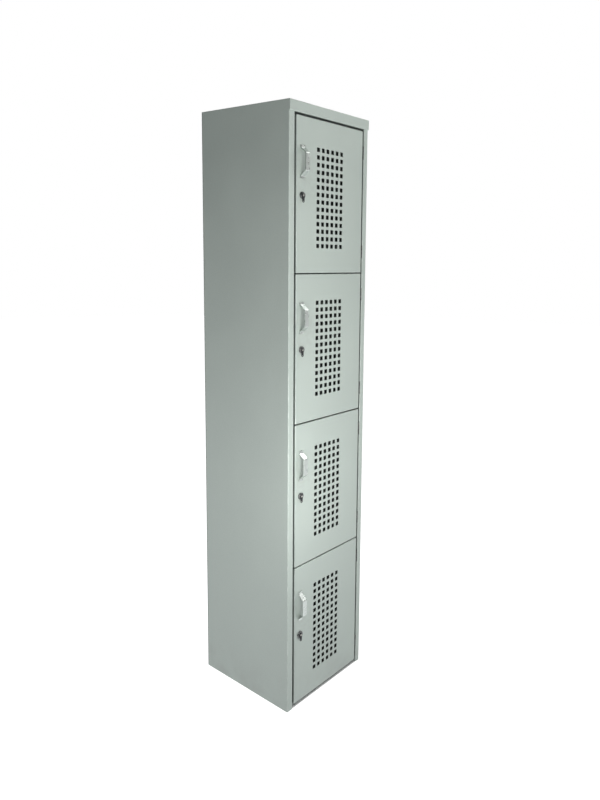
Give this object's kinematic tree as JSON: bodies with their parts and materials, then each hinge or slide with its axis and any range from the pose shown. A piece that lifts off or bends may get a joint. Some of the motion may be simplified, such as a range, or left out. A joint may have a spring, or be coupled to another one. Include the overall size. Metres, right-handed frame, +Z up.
{
  "type": "locker cabinet",
  "caption": "Tall narrow sheet-steel locker with stacked compartments, perforated swing doors, bow handles and keyed cam locks.",
  "frame": {"origin": "on the floor, in the middle of the outer box, handles included", "axes": "+Z up; +X to the right seen from the front, towards the hinges; the doors face -Y"},
  "size_m": [0.33, 0.404, 1.8],
  "materials": {
    "powder_coat": "satin silver-grey powder coat with a faint orange peel",
    "handle_chrome": "bright chrome plate",
    "lock_dark": "dark nickel plate, worn bright on the edges",
    "zinc_plate": "dull zinc plate",
    "hinge_steel": "oiled dark steel",
    "key_plastic": "black moulded plastic"
  },
  "bodies": {
    "cabinet": {"left_side_panel": "powder_coat", "right_side_panel": "powder_coat", "back_panel": "powder_coat", "top_panel": "powder_coat", "bottom_panel": "powder_coat", "shelf_1": "powder_coat", "shelf_2": "powder_coat", "shelf_3": "powder_coat", "hinge_1_upper_frame_leaf": "hinge_steel", "hinge_1_upper_pin": "hinge_steel", "hinge_1_lower_frame_leaf": "hinge_steel", "hinge_1_lower_pin": "hinge_steel", "hinge_2_upper_frame_leaf": "hinge_steel", "hinge_2_upper_pin": "hinge_steel", "hinge_2_lower_frame_leaf": "hinge_steel", "hinge_2_lower_pin": "hinge_steel", "hinge_3_upper_frame_leaf": "hinge_steel", "hinge_3_upper_pin": "hinge_steel", "hinge_3_lower_frame_leaf": "hinge_steel", "hinge_3_lower_pin": "hinge_steel", "hinge_4_upper_frame_leaf": "hinge_steel", "hinge_4_upper_pin": "hinge_steel", "hinge_4_lower_frame_leaf": "hinge_steel", "hinge_4_lower_pin": "hinge_steel"},
    "door_1_assembly": {"door_1": "powder_coat", "handle_1": "handle_chrome", "lock_housing_1": "lock_dark", "lock_nut_1": "zinc_plate", "hinge_1_upper_door_leaf": "hinge_steel", "hinge_1_lower_door_leaf": "hinge_steel"},
    "lock_1_assembly": {"lock_plug_1": "lock_dark", "key_1": "key_plastic", "lock_cam_1": "zinc_plate"},
    "door_2_assembly": {"door_2": "powder_coat", "handle_2": "handle_chrome", "lock_housing_2": "lock_dark", "lock_nut_2": "zinc_plate", "hinge_2_upper_door_leaf": "hinge_steel", "hinge_2_lower_door_leaf": "hinge_steel"},
    "lock_2_assembly": {"lock_plug_2": "lock_dark", "key_2": "key_plastic", "lock_cam_2": "zinc_plate"},
    "door_3_assembly": {"door_3": "powder_coat", "handle_3": "handle_chrome", "lock_housing_3": "lock_dark", "lock_nut_3": "zinc_plate", "hinge_3_upper_door_leaf": "hinge_steel", "hinge_3_lower_door_leaf": "hinge_steel"},
    "lock_3_assembly": {"lock_plug_3": "lock_dark", "key_3": "key_plastic", "lock_cam_3": "zinc_plate"},
    "door_4_assembly": {"door_4": "powder_coat", "handle_4": "handle_chrome", "lock_housing_4": "lock_dark", "lock_nut_4": "zinc_plate", "hinge_4_upper_door_leaf": "hinge_steel", "hinge_4_lower_door_leaf": "hinge_steel"},
    "lock_4_assembly": {"lock_plug_4": "lock_dark", "key_4": "key_plastic", "lock_cam_4": "zinc_plate"}
  },
  "joints": [
    {"name": "door_1_swing", "type": "hinge", "parent": "cabinet", "child": "door_1_assembly", "pos_m": [0.143, -0.1765, 1.54588], "axis": [0, 0, 1], "range_deg": [0, 110]},
    {"name": "lock_1_turn", "type": "hinge", "parent": "door_1_assembly", "child": "lock_1_assembly", "pos_m": [-0.117, -0.17, 1.54588], "axis": [0, 1, 0], "range_deg": [0, 90]},
    {"name": "door_2_swing", "type": "hinge", "parent": "cabinet", "child": "door_2_assembly", "pos_m": [0.143, -0.1765, 1.10763], "axis": [0, 0, 1], "range_deg": [0, 110]},
    {"name": "lock_2_turn", "type": "hinge", "parent": "door_2_assembly", "child": "lock_2_assembly", "pos_m": [-0.117, -0.17, 1.10763], "axis": [0, 1, 0], "range_deg": [0, 90]},
    {"name": "door_3_swing", "type": "hinge", "parent": "cabinet", "child": "door_3_assembly", "pos_m": [0.143, -0.1765, 0.66938], "axis": [0, 0, 1], "range_deg": [0, 110]},
    {"name": "lock_3_turn", "type": "hinge", "parent": "door_3_assembly", "child": "lock_3_assembly", "pos_m": [-0.117, -0.17, 0.66938], "axis": [0, 1, 0], "range_deg": [0, 90]},
    {"name": "door_4_swing", "type": "hinge", "parent": "cabinet", "child": "door_4_assembly", "pos_m": [0.143, -0.1765, 0.23112], "axis": [0, 0, 1], "range_deg": [0, 110]},
    {"name": "lock_4_turn", "type": "hinge", "parent": "door_4_assembly", "child": "lock_4_assembly", "pos_m": [-0.117, -0.17, 0.23112], "axis": [0, 1, 0], "range_deg": [0, 90]}
  ]
}
